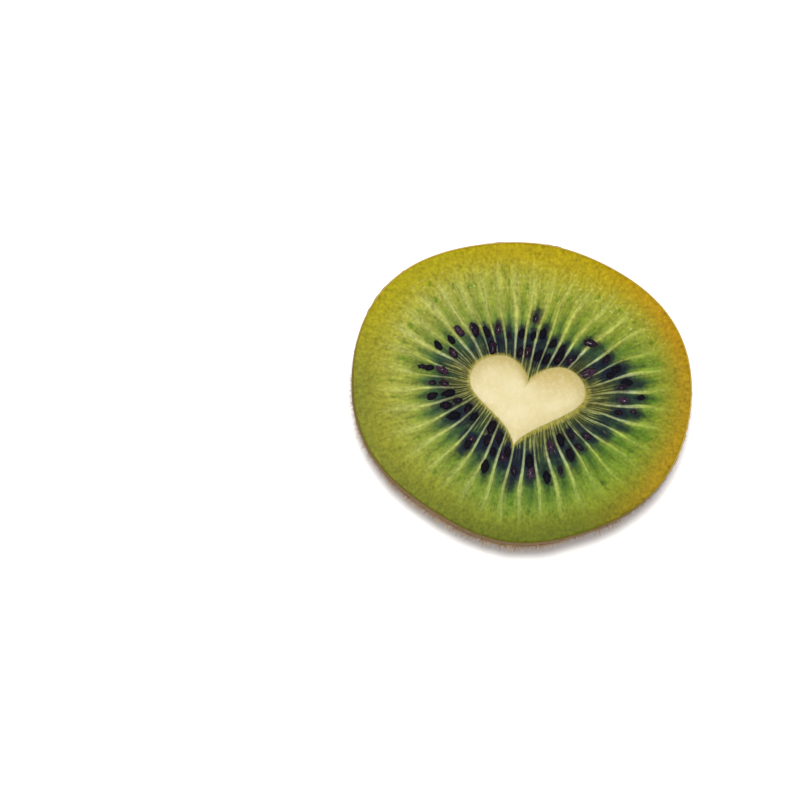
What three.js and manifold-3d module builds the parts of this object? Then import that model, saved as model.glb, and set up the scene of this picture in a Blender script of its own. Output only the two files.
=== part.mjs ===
// Half a kiwi fruit, cut across its middle. It lies on its round end with the cut face up.
// Skin, flesh and seeds are one solid. The pale core, a heart where it is cut, is a solid of its own.
// Millimetres, +Z up. The origin is the middle of the small flat spot that the fruit rests on.
// +X runs along the long way of the cut face and +Y along its short way.
import * as THREE from "three";
import { mergeVertices } from "three/addons/utils/BufferGeometryUtils.js";
import Module from "manifold-3d";

const wasm = await Module();
wasm.setup();

// The fruit
const HEIGHT = 32; // from the resting spot to the cut face
const UNFLATTENED = 33.2; // what the height would be if the end were quite round
const BARREL_POWER = 2.3; // 2 would be an ellipsoid, and more is blunter
const MEAN_RADIUS = 25.5; // of the cut face
// How far the outline is from a circle: waves in a turn, size as a share of the radius, direction of a crest.
const OUTLINE_WAVES = [
  { waves: 1, size: 0.0188, crest: 97 },
  { waves: 2, size: 0.0687, crest: -12.3 },
  { waves: 3, size: 0.0147, crest: 28 },
  { waves: 5, size: 0.0027, crest: -19 },
  { waves: 6, size: 0.0083, crest: 22 },
];
const RIM_WIDTH = 0.03; // the flesh falls away over this share of the way in from the skin
const RIM_DROP = 0.35;

// The end that it rests on
const REST_RADIUS = 8.6; // outer radius of the flat spot
const DIMPLE_RADIUS = 5.4;
const DIMPLE_DEPTH = 1.7;
const NUB_RADIUS = 2.6; // the dry flower scar in the dimple
const NUB_TIP_RADIUS = 1.8;
const NUB_CLEARANCE = 0.4; // the nub stays this far above the floor

// The core: the six curves of the heart, in order, run between these places.
const NOTCH = [0.95, 1.85];
const LEFT_TOP = [-3.6, 5.95];
const LEFT_SIDE = [-8.4, 2];
const TIP = [-1.4, -8.4];
const RIGHT_SIDE = [10.1, -0.2];
const RIGHT_TOP = [5.9, 4.05];
const HEART_CURVES = [
  [NOTCH, [0.45, 3.9], [-1.2, LEFT_TOP[1]], LEFT_TOP],
  [LEFT_TOP, [-6.1, LEFT_TOP[1]], [LEFT_SIDE[0], 4.4], LEFT_SIDE],
  [LEFT_SIDE, [LEFT_SIDE[0], -1.4], [-2.4, -3.6], TIP],
  [TIP, [0.7, -5.2], [RIGHT_SIDE[0], -3.7], RIGHT_SIDE],
  [RIGHT_SIDE, [RIGHT_SIDE[0], 2.1], [8, RIGHT_TOP[1]], RIGHT_TOP],
  [RIGHT_TOP, [4.1, RIGHT_TOP[1]], [2.1, 3.2], NOTCH],
];
const CORE_FOOT = 6; // height of the core's lower end
const CORE_FOOT_SCALE = 0.5; // its size there, next to its size at the cut
const CORE_CROWN = 0.25; // the firm core stands this far proud of the cut
const GAP = 0.3; // between the core and the flesh

// Pale walls part the seed chambers. They follow hyperbolas that share two foci, so a place on
// the cut is known by its direction, as on a clock, and its level, which grows outwards.
const FOCUS = 7.6; // half the distance between the foci
const FOCUS_TILT = THREE.MathUtils.degToRad(-13.5);
const CHAMBERS = 39;
const FIRST_WALL = 4.25; // degrees
const WALL_WAVES = [
  { waves: 1, size: 3.3, crest: -6 },
  { waves: 2, size: 1.3, crest: 74 },
  { waves: 3, size: 1, crest: -7 },
  { waves: 4, size: 0.9, crest: -27 },
];
const CHAMBER_DEPTH = 0.2; // the soft chambers lie this far below their walls
const CHAMBER_LEVELS = [0.5, 0.9, 2.4]; // where the sinking starts, is deepest and ends

// The seeds
const SEED = { length: 2.35, width: 1.5, thickness: 1.15 };
const SEED_PROFILE = [[0, -0.5], [0.36, -0.34], [0.5, 0], [0.3, 0.36], [0, 0.5]]; // radius and place along
const SEED_SIDES = 6;
const SEED_SUNK = 0.2; // how far a seed's middle is below the chamber's surface, on average
const SEED_LEVEL = 1.43; // mean level of the ring of seeds
const SEED_WAVES = [
  { waves: 1, size: 0.13, crest: -30 },
  { waves: 2, size: 0.27, crest: 1 },
  { waves: 3, size: 0.16, crest: 30 },
  { waves: 4, size: 0.17, crest: 12.5 },
  { waves: 5, size: 0.08, crest: 10 },
];
const SEED_ROWS = [
  { level: 0.1, chance: 0.92 },
  { level: -0.3, chance: 0.58 },
  { level: 0.38, chance: 0.1 },
];
const SEED_SPREAD = { across: 0.36, level: 0.28, turn: 0.9, scale: 0.36, sunk: 0.26 }; // from least to most
const LOOSE_SEED = { place: [10.9, 7.9], turn: -0.2, sunk: 0.1 }; // one that the knife has moved

// Mesh steps
const CURVE_STEPS = 24; // for each of the heart's curves
const ACROSS_STEPS = [0, 0.3, 0.7]; // places across a chamber, where 0 is on its wall
const FACE_STEPS = [0, 0.1, 0.25, 0.42, 0.6, 0.8, 1 - RIM_WIDTH, 1]; // shares of the way from core to skin
const SIDE_STEPS = [0.11, 0.23, 0.36, 0.48, 0.59, 0.69, 0.78, 0.86, 0.93, 0.975]; // shares of the way down
const CROWN_STEPS = [0.55, 0.9, 1]; // shares of the core's outline
const SEARCH_STEPS = 30;
const SERIES_PER_ROW = 10; // random series kept for each row of seeds

// A repeatable draw from 0 to 1 for this item of this series.
function draw(item, series) {
  const value = Math.sin(item * 12.9898 + series * 78.233) * 43758.5453;
  return value - Math.floor(value);
}

// A repeatable draw round zero, of this width from least to most.
const drawRound = (width, item, series) => width * (draw(item, series) - 0.5);

// The sum of some waves at this angle.
function waveSum(waveList, angle) {
  return waveList.reduce((sum, { waves, size, crest }) => {
    return sum + size * Math.cos(waves * (angle - THREE.MathUtils.degToRad(crest)));
  }, 0);
}

const skinRadius = (angle) => MEAN_RADIUS * (1 + waveSum(OUTLINE_WAVES, angle));

// The heart as a closed run of points.
const HEART = HEART_CURVES.flatMap((places) => {
  const curve = new THREE.CubicBezierCurve3(...places.map(([x, y]) => new THREE.Vector3(x, y, 0)));
  return curve.getPoints(CURVE_STEPS).slice(0, -1);
});
const HEART_SIDES = HEART.map((point, i) => new THREE.Line3(point, HEART[(i + 1) % HEART.length]));

const pointAt = (angle, radius) => new THREE.Vector3(radius * Math.cos(angle), radius * Math.sin(angle), 0);

const angleOf = (point) => Math.atan2(point.y, point.x);

// The heart's radius in this direction from the origin.
function heartRadius(angle) {
  const normal = pointAt(angle + Math.PI / 2, 1);
  const direction = pointAt(angle, 1);
  const crossings = HEART_SIDES.map(({ start, end }) => {
    const before = start.dot(normal);
    const after = end.dot(normal);
    if (before * after > 0 || before === after) return 0;
    return start.clone().lerp(end, before / (before - after)).dot(direction);
  });
  return Math.max(...crossings);
}

function distanceToHeart(point) {
  const nearest = new THREE.Vector3();
  const distances = HEART_SIDES.map((side) => {
    return side.closestPointToPoint(point, true, nearest).distanceTo(point);
  });
  return Math.min(...distances);
}

// Halves a range until it closes on the value where the test stops being true.
function searchRange(low, high, isBefore) {
  let [from, to] = [low, high];
  for (let i = 0; i < SEARCH_STEPS; i += 1) {
    const middle = (from + to) / 2;
    if (isBefore(middle)) from = middle;
    else to = middle;
  }
  return from;
}

// The core's own radius, which leaves a gap to the heart-shaped pocket.
function coreRadius(angle) {
  const pocket = heartRadius(angle);
  return searchRange(0, pocket, (radius) => distanceToHeart(pointAt(angle, radius)) > GAP);
}

// The place on the cut with this direction and level.
function placeOnCut(direction, level) {
  const along = FOCUS * Math.hypot(1, level) * Math.cos(direction);
  const across = FOCUS * level * Math.sin(direction);
  return new THREE.Vector3(along, across, 0).applyAxisAngle(new THREE.Vector3(0, 0, 1), FOCUS_TILT);
}

// The level at which this direction's hyperbola reaches an outline.
function levelWhere(direction, outlineRadius) {
  const deepest = 5;
  return searchRange(0, deepest, (level) => {
    const place = placeOnCut(direction, level);
    return place.length() < outlineRadius(angleOf(place));
  });
}

// The direction of a place across a chamber.
function chamberDirection(chamber, across) {
  const wall = (i) => {
    const even = (i / CHAMBERS) * 2 * Math.PI;
    return even + THREE.MathUtils.degToRad(FIRST_WALL + waveSum(WALL_WAVES, even));
  };
  return THREE.MathUtils.lerp(wall(chamber), wall(chamber + 1), across);
}

// Each mesh step round the cut.
const COLUMNS = [];
for (let chamber = 0; chamber < CHAMBERS; chamber += 1) {
  for (const across of ACROSS_STEPS) {
    const direction = chamberDirection(chamber, across);
    COLUMNS.push({
      direction,
      onWall: across === 0,
      coreLevel: levelWhere(direction, heartRadius),
      skinLevel: levelWhere(direction, skinRadius),
    });
  }
}

// How much lower the cut face is in a chamber at this level.
function chamberSinking(level) {
  const [start, deepest, end] = CHAMBER_LEVELS;
  const { smoothstep } = THREE.MathUtils;
  return CHAMBER_DEPTH * smoothstep(level, start, deepest) * (1 - smoothstep(level, deepest, end));
}

// One ring of the cut face, at a share of the way from the core to the skin.
function faceRing(share) {
  const rimDrop = share === 1 ? RIM_DROP : 0;
  return COLUMNS.map(({ direction, onWall, coreLevel, skinLevel }) => {
    const level = THREE.MathUtils.lerp(coreLevel, skinLevel, share);
    const sinking = onWall ? 0 : chamberSinking(level);
    return placeOnCut(direction, level).setZ(HEIGHT - sinking - rimDrop);
  });
}

const scaledRing = (outline, scale, z) => outline.map((p) => new THREE.Vector3(p.x * scale, p.y * scale, z));

// A closed mesh from rings of points, all with the same number of points, with a pole at each end.
function closedRings(firstPole, rings, lastPole) {
  const count = rings[0].length;
  const points = [firstPole, ...rings.flat(), lastPole];
  const lastRing = 1 + (rings.length - 1) * count;
  const triangles = [];
  for (let i = 0; i < count; i += 1) {
    const j = (i + 1) % count;
    triangles.push(0, 1 + i, 1 + j);
    for (let a = 1; a < lastRing; a += count) {
      const b = a + count;
      triangles.push(a + i, b + i, b + j, a + i, b + j, a + j);
    }
    triangles.push(lastRing + i, points.length - 1, lastRing + j);
  }
  const geometry = new THREE.BufferGeometry().setFromPoints(points);
  geometry.setIndex(triangles);
  return geometry;
}

// The fruit with a pocket for the core, from the foot of the pocket out over the cut and down the side.
function fruitGeometry() {
  const pocket = COLUMNS.map(({ direction, coreLevel }) => placeOnCut(direction, coreLevel));
  const outline = COLUMNS.map(({ direction, skinLevel }) => placeOnCut(direction, skinLevel));
  const pocketFoot = CORE_FOOT - GAP;
  const sideRing = (share) => {
    const depth = share * HEIGHT;
    const scale = (1 - (depth / UNFLATTENED) ** BARREL_POWER) ** (1 / BARREL_POWER);
    return scaledRing(outline, scale, HEIGHT - depth);
  };
  const endRing = (radius, z) => scaledRing(outline, radius / MEAN_RADIUS, z);
  const rings = [
    scaledRing(pocket, CORE_FOOT_SCALE, pocketFoot),
    ...FACE_STEPS.map(faceRing),
    ...SIDE_STEPS.map(sideRing),
    endRing(REST_RADIUS, 0),
    endRing(DIMPLE_RADIUS, 0),
    endRing(NUB_RADIUS, DIMPLE_DEPTH),
    endRing(NUB_TIP_RADIUS, NUB_CLEARANCE),
  ];
  return closedRings(new THREE.Vector3(0, 0, pocketFoot), rings, new THREE.Vector3(0, 0, NUB_CLEARANCE));
}

// The core, from its low crown down to its foot. It tapers as the fruit does.
function coreGeometry() {
  const outline = COLUMNS.map(({ direction, coreLevel }) => {
    const angle = angleOf(placeOnCut(direction, coreLevel));
    return pointAt(angle, coreRadius(angle));
  });
  const crownRings = CROWN_STEPS.map((scale) => {
    return scaledRing(outline, scale, HEIGHT + CORE_CROWN * (1 - scale * scale));
  });
  const rings = [...crownRings, scaledRing(outline, CORE_FOOT_SCALE, CORE_FOOT)];
  return closedRings(new THREE.Vector3(0, 0, HEIGHT + CORE_CROWN), rings, new THREE.Vector3(0, 0, CORE_FOOT));
}

// A seed lying along X, blunt at its inner end and pointed at the other.
function seedGeometry(scale) {
  const profile = SEED_PROFILE.map(([radius, along]) => new THREE.Vector2(radius, along));
  const geometry = new THREE.LatheGeometry(profile, SEED_SIDES);
  geometry.rotateZ(-Math.PI / 2);
  geometry.scale(SEED.length * scale, SEED.width * scale, SEED.thickness * scale);
  return geometry;
}

// The seed of this row in this chamber. It moves outwards until it is clear of the core.
function seedPlace(chamber, row) {
  const series = SERIES_PER_ROW * (row + 1);
  const across = 0.5 + drawRound(SEED_SPREAD.across, chamber, series);
  const direction = chamberDirection(chamber, across);
  const ringLevel = SEED_LEVEL + waveSum(SEED_WAVES, direction) + SEED_ROWS[row].level;
  const outwardStep = 0.02;
  let level = ringLevel + drawRound(SEED_SPREAD.level, chamber, series + 1);
  const isTooNear = () => {
    const place = placeOnCut(direction, level);
    const isInside = place.length() < heartRadius(angleOf(place));
    return isInside || distanceToHeart(place) < SEED.length / 2 + GAP;
  };
  while (isTooNear()) level += outwardStep;
  const place = placeOnCut(direction, level);
  const ahead = placeOnCut(direction, level + outwardStep).sub(place);
  return {
    place,
    turn: angleOf(ahead) + drawRound(SEED_SPREAD.turn, chamber, series + 2),
    scale: 1 + drawRound(SEED_SPREAD.scale, chamber, series + 3),
    sunk: CHAMBER_DEPTH + SEED_SUNK + drawRound(SEED_SPREAD.sunk, chamber, series + 4),
  };
}

// Every seed. The loose one came out of its chamber, so none is left beside it.
function allSeeds() {
  const loose = { ...LOOSE_SEED, place: new THREE.Vector3(...LOOSE_SEED.place, 0), scale: 1 };
  const seeds = [loose];
  for (let chamber = 0; chamber < CHAMBERS; chamber += 1) {
    SEED_ROWS.forEach(({ chance }, row) => {
      if (draw(chamber, row + 1) > chance) return;
      const seed = seedPlace(chamber, row);
      if (seed.place.distanceTo(loose.place) > SEED.length) seeds.push(seed);
    });
  }
  return seeds;
}

function solidOf(geometry) {
  const bare = geometry.clone();
  bare.deleteAttribute("normal");
  bare.deleteAttribute("uv");
  const merged = mergeVertices(bare);
  const vertProperties = new Float32Array(merged.attributes.position.array);
  const triVerts = new Uint32Array(merged.index.array);
  return new wasm.Manifold(new wasm.Mesh({ numProp: 3, vertProperties, triVerts }));
}

function geometryOf(solid) {
  const { vertProperties, triVerts } = solid.getMesh();
  const geometry = new THREE.BufferGeometry();
  geometry.setAttribute("position", new THREE.BufferAttribute(new Float32Array(vertProperties), 3));
  geometry.setIndex(new THREE.BufferAttribute(new Uint32Array(triVerts), 1));
  geometry.computeVertexNormals();
  return geometry;
}

// The fruit with the seeds fused to its cut face.
function seededFruitGeometry() {
  let fruit = solidOf(fruitGeometry());
  for (const { place, turn, scale, sunk } of allSeeds()) {
    const seed = seedGeometry(scale);
    seed.rotateZ(turn);
    seed.translate(place.x, place.y, HEIGHT - sunk);
    fruit = fruit.add(solidOf(seed));
  }
  return geometryOf(fruit);
}

const fleshMaterial = new THREE.MeshStandardMaterial({ color: 0x93a53a, roughness: 0.4, metalness: 0 });
const coreMaterial = new THREE.MeshStandardMaterial({ color: 0xeadfa8, roughness: 0.55, metalness: 0 });

const flesh = new THREE.Mesh(seededFruitGeometry(), fleshMaterial);
flesh.name = "flesh_skin_and_seeds";
const core = new THREE.Mesh(coreGeometry(), coreMaterial);
core.name = "heart_core";

const halfKiwi = new THREE.Group();
halfKiwi.name = "half_kiwi";
halfKiwi.add(flesh, core);

export default halfKiwi;
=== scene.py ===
# %% [markdown]
# Half a kiwi fruit
#
# This lesson dresses half a green kiwi fruit that lies on its round end with the cut face up. The real
# thing has five parts that show: a pale core that is a heart where it is cut, green flesh with 39 seed
# chambers, black seeds, thin brown skin and the fuzz that grows on it. The fuzz becomes three meshes and
# each of the others one, all with procedural finishes. Lengths are in millimetres until a mesh is made, and
# then in metres.

import bpy
import numpy as np
from mathutils import Matrix, Vector


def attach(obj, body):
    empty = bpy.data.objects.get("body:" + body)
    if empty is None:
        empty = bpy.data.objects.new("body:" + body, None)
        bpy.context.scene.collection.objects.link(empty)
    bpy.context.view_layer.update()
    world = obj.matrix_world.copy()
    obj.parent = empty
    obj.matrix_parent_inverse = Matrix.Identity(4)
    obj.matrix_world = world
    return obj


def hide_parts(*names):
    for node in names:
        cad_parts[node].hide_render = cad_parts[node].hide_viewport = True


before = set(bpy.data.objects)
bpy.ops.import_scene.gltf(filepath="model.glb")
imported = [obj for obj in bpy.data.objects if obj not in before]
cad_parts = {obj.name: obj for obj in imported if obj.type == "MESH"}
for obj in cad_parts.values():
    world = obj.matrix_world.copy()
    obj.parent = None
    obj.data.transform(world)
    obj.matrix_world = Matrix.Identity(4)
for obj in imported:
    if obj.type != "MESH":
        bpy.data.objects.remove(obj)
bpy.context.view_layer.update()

MM = 0.001
BODY = "root"
print("solids:", sorted(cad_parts))

# %% [markdown]
# The shape of the fruit
#
# The outline of the cut is a circle that five waves push in and out. Below the cut the fruit is a
# barrel: every lower ring is the same outline, drawn smaller by one formula. The facets of the solids
# could be measured instead, but repeating their rule puts the fine meshes in exactly the same place
# with any number of points.

# %% Sizes of the fruit
HEIGHT = 32.0
UNFLATTENED = 33.2
BARREL_POWER = 2.3
MEAN_RADIUS = 25.5
# Waves in a turn, size as a share of the radius, direction of a crest in degrees
OUTLINE_WAVES = [(1, 0.0188, 97), (2, 0.0687, -12.3), (3, 0.0147, 28), (5, 0.0027, -19), (6, 0.0083, 22)]
SKIN_THICKNESS = 0.24
RIM_DROP = 0.3
DIMPLE_RADIUS = 5.4
DIMPLE_DEPTH = 1.7
NUB_RADIUS = 2.6
NUB_TIP_RADIUS = 1.8
NUB_CLEARANCE = 0.4


def lengths(vectors):
    """The length of each flat vector of an array."""
    return np.hypot(*np.moveaxis(vectors, -1, 0))


def shares(count):
    """Even shares of a whole, from the first one after 0 up to 1."""
    return np.linspace(0, 1, count + 1)[1:]


def wave_sum(wave_list, angle):
    """The sum of some waves at these angles."""
    return sum(size * np.cos(waves * (angle - np.radians(crest))) for waves, size, crest in wave_list)


def skin_radius(angle):
    """The radius of the cut's outline in these directions."""
    return MEAN_RADIUS * (1 + wave_sum(OUTLINE_WAVES, angle))


def side_scale(depth):
    """How wide the fruit is at this depth below the cut, next to the cut itself."""
    return (1 - (depth / UNFLATTENED) ** BARREL_POWER) ** (1 / BARREL_POWER)


print("cut face across, mm:", round(skin_radius(0.0) + skin_radius(np.pi), 1))

# %% [markdown]
# The heart and the rays
#
# Six curves draw the heart. Pale walls, the septa, run from it to the skin and part the chambers. Drawn
# as straight spokes they look like a wheel, because a kiwi's core is long and its walls leave it at right
# angles. Hyperbolas with two shared foci do just that. So each place on the cut has a direction, as on
# a clock, and a level, which grows outwards, and everything on the cut is placed by those two numbers.

# %% The heart
NOTCH = (0.95, 1.85)
LEFT_TOP = (-3.6, 5.95)
LEFT_SIDE = (-8.4, 2.0)
TIP = (-1.4, -8.4)
RIGHT_SIDE = (10.1, -0.2)
RIGHT_TOP = (5.9, 4.05)
HEART_CURVES = [
    (NOTCH, (0.45, 3.9), (-1.2, LEFT_TOP[1]), LEFT_TOP),
    (LEFT_TOP, (-6.1, LEFT_TOP[1]), (LEFT_SIDE[0], 4.4), LEFT_SIDE),
    (LEFT_SIDE, (LEFT_SIDE[0], -1.4), (-2.4, -3.6), TIP),
    (TIP, (0.7, -5.2), (RIGHT_SIDE[0], -3.7), RIGHT_SIDE),
    (RIGHT_SIDE, (RIGHT_SIDE[0], 2.1), (8, RIGHT_TOP[1]), RIGHT_TOP),
    (RIGHT_TOP, (4.1, RIGHT_TOP[1]), (2.1, 3.2), NOTCH),
]
CURVE_STEPS = 24
CORE_FOOT = 6.0
CORE_FOOT_SCALE = 0.5
CORE_CROWN = 0.25


def heart_points():
    """The heart as a closed run of points."""
    step = np.linspace(0, 1, CURVE_STEPS, endpoint=False)[:, None]
    back = 1 - step
    points = []
    for places in HEART_CURVES:
        a, b, c, d = (np.array(place, float) for place in places)
        points.append(back**3 * a + 3 * back**2 * step * b + 3 * back * step**2 * c + step**3 * d)
    return np.concatenate(points)


HEART = heart_points()
HEART_NEXT = np.roll(HEART, -1, axis=0)


def heart_radius(angle):
    """The radius of the heart in these directions from the fruit's axis."""
    angle = np.atleast_1d(angle)[:, None]
    before = HEART[:, 1] * np.cos(angle) - HEART[:, 0] * np.sin(angle)
    after = HEART_NEXT[:, 1] * np.cos(angle) - HEART_NEXT[:, 0] * np.sin(angle)
    crosses = (before * after <= 0) & (before != after)
    share = np.where(crosses, before / np.where(crosses, before - after, 1), 0)
    x = HEART[:, 0] + share * (HEART_NEXT[:, 0] - HEART[:, 0])
    y = HEART[:, 1] + share * (HEART_NEXT[:, 1] - HEART[:, 1])
    return np.where(crosses, x * np.cos(angle) + y * np.sin(angle), 0).max(axis=1)


def heart_distance(place):
    """The distance from one place on the cut to the heart's outline."""
    sides = HEART_NEXT - HEART
    share = np.clip(((place - HEART) * sides).sum(1) / (sides * sides).sum(1), 0, 1)
    return lengths(HEART + sides * share[:, None] - place).min()


print("heart, mm:", np.round(HEART.max(0) - HEART.min(0), 1))

# %% The rays
FOCUS = 7.6
FOCUS_TILT = np.radians(-13.5)
CHAMBERS = 39
FIRST_WALL = 4.25
WALL_WAVES = [(1, 3.3, -6), (2, 1.3, 74), (3, 1, -7), (4, 0.9, -27)]
DEEPEST_LEVEL = 5
SEARCH_STEPS = 30


def place_on_cut(direction, level):
    """The x and y of the place with this direction and level."""
    along = FOCUS * np.hypot(1, level) * np.cos(direction)
    across = FOCUS * level * np.sin(direction)
    x = along * np.cos(FOCUS_TILT) - across * np.sin(FOCUS_TILT)
    y = along * np.sin(FOCUS_TILT) + across * np.cos(FOCUS_TILT)
    return np.stack([x, y], axis=-1)


def level_where(direction, outline_radius):
    """The level at which each direction's hyperbola reaches an outline."""
    low = np.zeros_like(direction)
    high = np.full_like(direction, DEEPEST_LEVEL)
    for _ in range(SEARCH_STEPS):
        middle = (low + high) / 2
        place = place_on_cut(direction, middle)
        inside = lengths(place) < outline_radius(np.arctan2(place[:, 1], place[:, 0]))
        low = np.where(inside, middle, low)
        high = np.where(inside, high, middle)
    return low


def wall_direction(number):
    """The direction of a wall, which is a little uneven from one to the next."""
    even = number / CHAMBERS * 2 * np.pi
    return even + np.radians(FIRST_WALL + wave_sum(WALL_WAVES, even))


def chamber_direction(chamber, across):
    """The direction of a place in a chamber, from 0 on its first wall to 1 on the next."""
    return (1 - across) * wall_direction(chamber) + across * wall_direction(chamber + 1)


def draw(item, series):
    """A repeatable draw from 0 to 1 for this item of this series."""
    return np.mod(np.sin(item * 12.9898 + series * 78.233) * 43758.5453, 1)


every_wall = wall_direction(np.arange(CHAMBERS + 1))
print("widest chamber, degrees:", round(np.degrees(np.diff(every_wall).max()), 1))

# %% [markdown]
# The camera and the light
#
# The camera looks down on the cut from a little below the middle of the picture, so a thin strip of skin
# shows along the lower left edge. It is placed by working backwards from the picture: the cut's middle
# lands on a known pixel at a known scale. One soft lamp hangs almost overhead and a white sky fills the
# rest, as in a light tent. A lamp further to one side would throw a wide grey shadow, since the rim of the
# fruit is three centimetres above the floor. Near the camera's own line the fruit hides most of its shadow,
# and only a narrow one is left along the lower edge.

# %% The camera
PICTURE = 800
CUT_PIXEL = (522.4, 392.4)
PIXELS_PER_MM = 6.31
CAMERA_DISTANCE = 700.0
CAMERA_ELEVATION = 83
CAMERA_DIRECTION = 247
SENSOR = 36.0
NEAREST_SEEN = 0.05


def towards(elevation, direction):
    """A step of length 1 at this elevation and in this direction, both in degrees."""
    rise = np.radians(elevation)
    turn = np.radians(direction)
    return Vector((np.cos(rise) * np.cos(turn), np.cos(rise) * np.sin(turn), np.sin(rise)))


def add_object(name, data):
    """A new object in the scene."""
    added = bpy.data.objects.new(name, data)
    bpy.context.scene.collection.objects.link(added)
    return added


focal_pixels = PIXELS_PER_MM * CAMERA_DISTANCE
cut_middle = Vector((0, 0, HEIGHT))
back = towards(CAMERA_ELEVATION, CAMERA_DIRECTION)
side = Vector((0, 1, 0)).cross(back).normalized()
facing = Matrix((side, back.cross(side), back)).transposed()
aside = Vector((CUT_PIXEL[0] - PICTURE / 2, PICTURE / 2 - CUT_PIXEL[1], -focal_pixels)).normalized()
facing = facing @ aside.rotation_difference(Vector((0, 0, -1))).to_matrix()

camera_data = bpy.data.cameras.new("camera")
camera_data.sensor_width = SENSOR
camera_data.lens = focal_pixels * SENSOR / PICTURE
camera_data.clip_start = NEAREST_SEEN
camera = add_object("camera", camera_data)
camera.matrix_world = Matrix.Translation((cut_middle + back * CAMERA_DISTANCE) * MM) @ facing.to_4x4()
bpy.context.scene.camera = camera
print("lens, mm:", round(camera_data.lens, 1))

# %% The lamp, the sky and how bright values are shown
KEY_DISTANCE = 0.8
KEY_ELEVATION = 86.5
KEY_DIRECTION = 221
KEY_SIZE = 0.07
KEY_POWER = 7.9
SKY_STRENGTH = 0.5

key_data = bpy.data.lights.new("key", "AREA")
key_data.shape = "DISK"
key_data.size = KEY_SIZE
key_data.energy = KEY_POWER
key_data.color = (1.0, 0.985, 0.95)
key = add_object("key", key_data)
key_back = towards(KEY_ELEVATION, KEY_DIRECTION)
key.location = cut_middle * MM + key_back * KEY_DISTANCE
key.rotation_mode = "QUATERNION"
key.rotation_quaternion = key_back.to_track_quat("Z", "Y")

sky = bpy.data.worlds.new("sky")
sky.use_nodes = True
sky_sockets = sky.node_tree.nodes["Background"].inputs
sky_sockets["Color"].default_value = (0.98, 0.975, 1, 1)
sky_sockets["Strength"].default_value = SKY_STRENGTH
bpy.context.scene.world = sky
bpy.context.scene.view_settings.view_transform = "Standard"
print("key lamp at", [round(value, 2) for value in key.location])

# %% [markdown]
# Writing node trees as sums
#
# A finish such as this flesh needs a hundred small Math nodes, and wiring them one by one hides what they
# mean. The two small classes below let Python's own operators add the nodes, so that a mask reads as it
# would on paper. The same classes build the Geometry Nodes trees, because those share the Math nodes.


# %% Wires and plans
class Wire:
    """A value that flows between nodes. Sums on it add Math nodes."""

    def __init__(self, plan, socket):
        self.plan = plan
        self.socket = socket

    def sum(self, operation, *others):
        """What one Math node makes of this value and the others."""
        return self.plan.node("ShaderNodeMath", {"operation": operation}, dict(enumerate([self, *others])))

    def __add__(self, other):
        return self.sum("ADD", other)

    def __sub__(self, other):
        return self.sum("SUBTRACT", other)

    def __mul__(self, other):
        return self.sum("MULTIPLY", other)

    def __truediv__(self, other):
        return self.sum("DIVIDE", other)

    def __rsub__(self, other):
        return self.plan.node("ShaderNodeMath", {"operation": "SUBTRACT"}, {0: other, 1: self})

    def __rtruediv__(self, other):
        return self.plan.node("ShaderNodeMath", {"operation": "DIVIDE"}, {0: other, 1: self})

    __radd__ = __add__
    __rmul__ = __mul__


class Plan:
    """A node tree that is being written."""

    def __init__(self, tree):
        self.tree = tree

    def node(self, kind, settings=None, inputs=None, output=0):
        """Adds a node with its settings and then its inputs, and returns one of its outputs."""
        node = self.tree.nodes.new(kind)
        for name, value in (settings or {}).items():
            if name == "stops":
                set_stops(node.color_ramp, value)
            else:
                setattr(node, name, value)
        for name, value in (inputs or {}).items():
            socket = find_socket(node.inputs, name)
            if isinstance(value, Wire):
                self.tree.links.new(value.socket, socket)
            else:
                socket.default_value = value
        return Wire(self, find_socket(node.outputs, output))

    def fade(self, value, start, end):
        """0 up to start and 1 from end on, with a soft change between. The start may be the larger."""
        places = {"Value": value, "From Min": start, "From Max": end}
        return self.node("ShaderNodeMapRange", {"interpolation_type": "SMOOTHSTEP"}, places)

    def mix(self, factor, first, second, blend="MIX"):
        """The first colour, changing to the second as the factor grows from 0 to 1, or multiplied by it."""
        settings = {"data_type": "RGBA", "blend_type": blend}
        return self.node("ShaderNodeMix", settings, {"Factor": factor, "A": first, "B": second}, "Result")

    def layers(self, colour, masks_and_colours):
        """A colour with others laid over it one by one, each through its mask."""
        for mask, over in masks_and_colours:
            colour = self.mix(mask, colour, over)
        return colour

    def vector(self, x, y, z=0.0):
        """A vector from its three parts."""
        return self.node("ShaderNodeCombineXYZ", {}, {"X": x, "Y": y, "Z": z})

    def add(self, first, second):
        """The sum of two vectors."""
        return self.node("ShaderNodeVectorMath", {"operation": "ADD"}, {0: first, 1: second})

    def scale(self, vector, factor):
        """A vector made longer or shorter."""
        return self.node("ShaderNodeVectorMath", {"operation": "SCALE"}, {0: vector, "Scale": factor})

    def noise(self, place, size, detail=2.0):
        """Soft random blotches of about this size, from 0 to 1, in the units of the place."""
        inputs = {"Vector": place, "Scale": 1 / size, "Detail": detail}
        return self.node("ShaderNodeTexNoise", {"noise_dimensions": "3D"}, inputs, "Fac")

    def streaks(self, across, along, detail=2.0):
        """Soft random blotches on a map of two numbers. They are stretched where a number grows slowly."""
        return self.noise(self.vector(across, along), 1.0, detail)

    def random(self, least, most, seed):
        """A random number for each item, the same in every run."""
        inputs = {"Min": least, "Max": most, "Seed": seed}
        return self.node("FunctionNodeRandomValue", {"data_type": "FLOAT"}, inputs, "Value")


def find_socket(sockets, name):
    """A socket by its number, or by its name among those that the node's settings switch on."""
    if isinstance(name, int):
        return sockets[name]
    return next(socket for socket in sockets if socket.name == name and socket.enabled)


def set_stops(ramp, stops):
    """Puts these (place, colour) stops on a colour ramp."""
    while len(ramp.elements) < len(stops):
        ramp.elements.new(1)
    for element, (position, colour) in zip(ramp.elements, stops):
        element.position = position
        element.color = colour


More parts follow.
